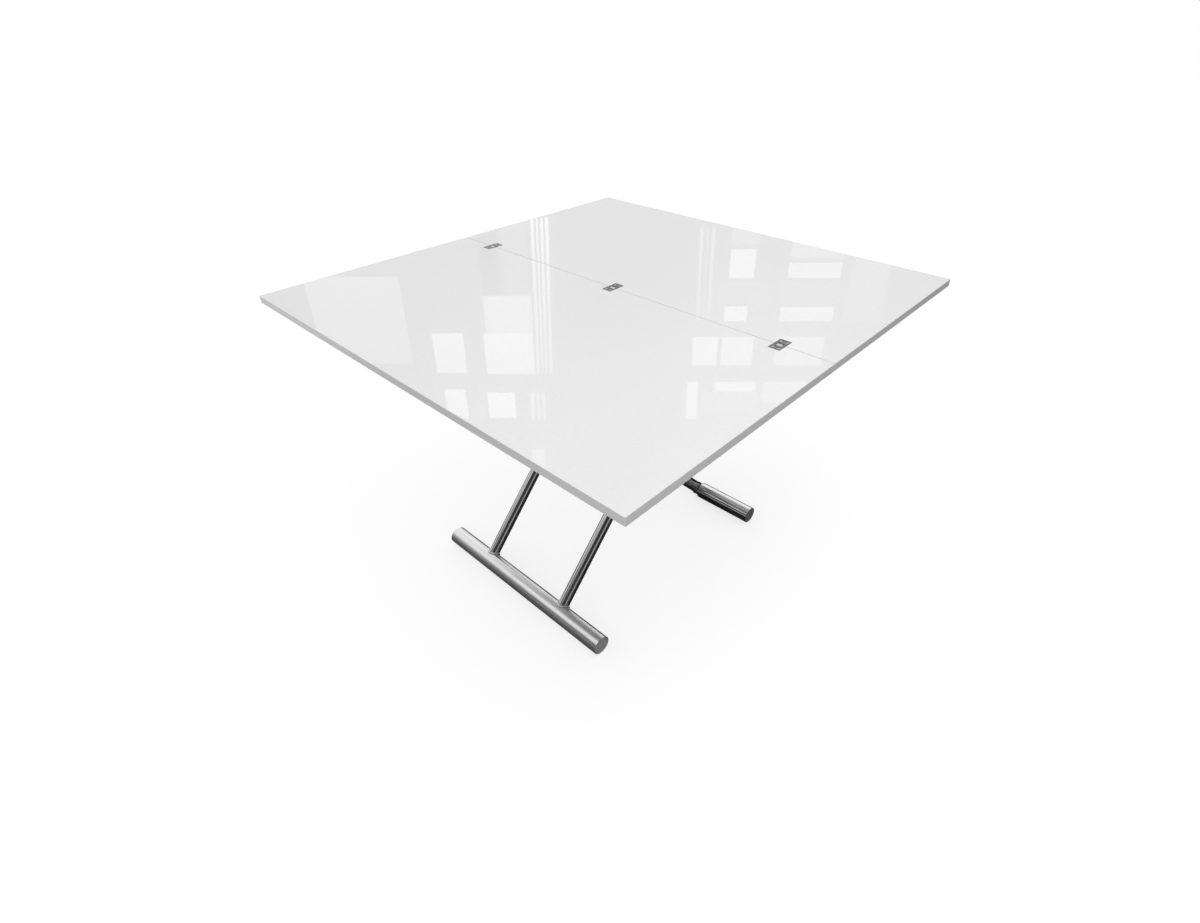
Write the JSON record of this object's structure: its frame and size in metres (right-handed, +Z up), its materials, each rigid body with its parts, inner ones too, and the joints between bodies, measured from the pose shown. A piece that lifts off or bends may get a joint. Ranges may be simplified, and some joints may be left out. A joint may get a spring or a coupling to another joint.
{
  "type": "convertible coffee-dining table",
  "caption": "Square dining table whose top folds in half and turns on a gas-sprung crossed steel frame that lowers it to a coffee table.",
  "frame": {"origin": "on the floor, under the middle of the opened top", "axes": "+X along the fold line, +Y across it towards the folding leaf and the rollers, +Z up"},
  "size_m": [1.2, 1.2, 0.768],
  "materials": {
    "white_lacquer": "high-gloss white lacquer on board",
    "satin_steel": "satin steel tube",
    "zinc_steel": "bright plated steel",
    "frame_steel": "grey painted steel",
    "nylon": "natural nylon",
    "black_plastic": "black plastic",
    "black_paint": "black gas spring paint"
  },
  "bodies": {
    "upper_frame": {"rail_left": "frame_steel", "rail_right": "frame_steel", "front_bar": "frame_steel", "rear_bar": "frame_steel", "base_plate": "frame_steel", "base_bolts": "zinc_steel", "base_nuts": "zinc_steel", "stop_pin": "zinc_steel", "slide_disc": "nylon", "glide_pads": "nylon", "pivot_bushes": "zinc_steel", "gas_lugs": "frame_steel"},
    "fixed_top": {"fixed_leaf": "white_lacquer", "turn_plate": "zinc_steel", "turn_plate_screws": "zinc_steel", "swivel_bolt": "zinc_steel", "swivel_nut": "zinc_steel", "hinge_plates_fixed": "zinc_steel", "hinge_screws_fixed": "zinc_steel", "hinge_pins_fixed": "zinc_steel"},
    "fold_links": {"hinge_links": "zinc_steel"},
    "folding_top": {"folding_leaf": "white_lacquer", "hinge_plates_folding": "zinc_steel", "hinge_screws_folding": "zinc_steel", "hinge_pins_folding": "zinc_steel"},
    "inner_frame": {"inner_arm_left": "satin_steel", "inner_arm_right": "satin_steel", "inner_top_shaft": "satin_steel", "shaft_clips": "zinc_steel", "push_bar": "satin_steel", "roller_axle": "satin_steel", "axle_washers": "zinc_steel", "axle_clips": "zinc_steel"},
    "roller_l": {"roller_left": "satin_steel", "roller_bushes_left": "nylon", "roller_cap_left": "satin_steel"},
    "roller_r": {"roller_right": "satin_steel", "roller_bushes_right": "nylon", "roller_cap_right": "satin_steel"},
    "outer_frame": {"foot_tube": "satin_steel", "foot_caps": "satin_steel", "outer_leg_left": "satin_steel", "outer_leg_right": "satin_steel", "outer_top_tube": "satin_steel", "crossing_sleeves": "satin_steel", "crossing_spacers": "nylon", "crossing_bolts": "zinc_steel", "crossing_nuts": "zinc_steel", "wheel_clips": "zinc_steel"},
    "wheel_l": {"rail_wheel_left": "nylon"},
    "wheel_r": {"rail_wheel_right": "nylon"},
    "gas_rod_assembly": {"release_head": "frame_steel", "gas_rod": "zinc_steel"},
    "gas_body": {"gas_cylinder": "black_paint", "gas_eye": "frame_steel"},
    "release_handle": {"release_shaft": "satin_steel", "lever_clips": "zinc_steel", "release_lever": "black_paint", "lever_grip": "black_plastic"},
    "release_pin": {"release_button": "zinc_steel"}
  },
  "joints": [
    {"name": "lift", "type": "hinge", "parent": "upper_frame", "child": "inner_frame", "pos_m": [0, -0.39, 0.725], "axis": [1, 0, 0], "range_deg": [0, 26.5]},
    {"name": "scissor", "type": "hinge", "parent": "inner_frame", "child": "outer_frame", "pos_m": [0, -0.06, 0.375], "axis": [1, 0, 0], "range_deg": [-53, 0]},
    {"name": "roller_spin_left", "type": "hinge", "parent": "inner_frame", "child": "roller_l", "pos_m": [-0.21, 0.27, 0.025], "axis": [1, 0, 0], "continuous": true},
    {"name": "roller_spin_right", "type": "hinge", "parent": "inner_frame", "child": "roller_r", "pos_m": [0.21, 0.27, 0.025], "axis": [1, 0, 0], "continuous": true},
    {"name": "wheel_spin_left", "type": "hinge", "parent": "outer_frame", "child": "wheel_l", "pos_m": [-0.1915, 0.27, 0.725], "axis": [1, 0, 0], "continuous": true},
    {"name": "wheel_spin_right", "type": "hinge", "parent": "outer_frame", "child": "wheel_r", "pos_m": [0.1915, 0.27, 0.725], "axis": [1, 0, 0], "continuous": true},
    {"name": "top_swivel", "type": "hinge", "parent": "upper_frame", "child": "fixed_top", "pos_m": [-0.15, -0.15, 0.75], "axis": [0, 0, 1], "range_deg": [0, 90]},
    {"name": "fold_lower", "type": "hinge", "parent": "fixed_top", "child": "fold_links", "pos_m": [0, -0.0026, 0.7655], "axis": [1, 0, 0], "range_deg": [0, 90]},
    {"name": "fold_upper", "type": "hinge", "parent": "fold_links", "child": "folding_top", "pos_m": [0, 0.0026, 0.7655], "axis": [1, 0, 0], "range_deg": [0, 90]},
    {"name": "gas_tilt", "type": "hinge", "parent": "upper_frame", "child": "gas_rod_assembly", "pos_m": [0, -0.14, 0.725], "axis": [1, 0, 0], "range_deg": [0, 13.25]},
    {"name": "gas_slide", "type": "slide", "parent": "gas_rod_assembly", "child": "gas_body", "axis": [0, 0.6066, 0.795], "range_m": [0, 0.098]},
    {"name": "release_turn", "type": "hinge", "parent": "gas_rod_assembly", "child": "release_handle", "pos_m": [0, -0.14, 0.725], "axis": [-1, 0, 0], "range_deg": [0, 25], "stiffness_Nm_per_rad": 0.5},
    {"name": "button_press", "type": "slide", "parent": "gas_rod_assembly", "child": "release_pin", "axis": [0, -0.6066, -0.795], "range_m": [0, 0.002]}
  ],
  "couplings": [
    {"joint": "scissor", "follows": "lift", "ratio": -2},
    {"joint": "gas_tilt", "follows": "lift", "ratio": 0.5},
    {"joint": "gas_slide", "follows": "lift", "m_per_rad": 0.21189},
    {"joint": "button_press", "follows": "release_turn", "m_per_rad": 0.0045836}
  ]
}
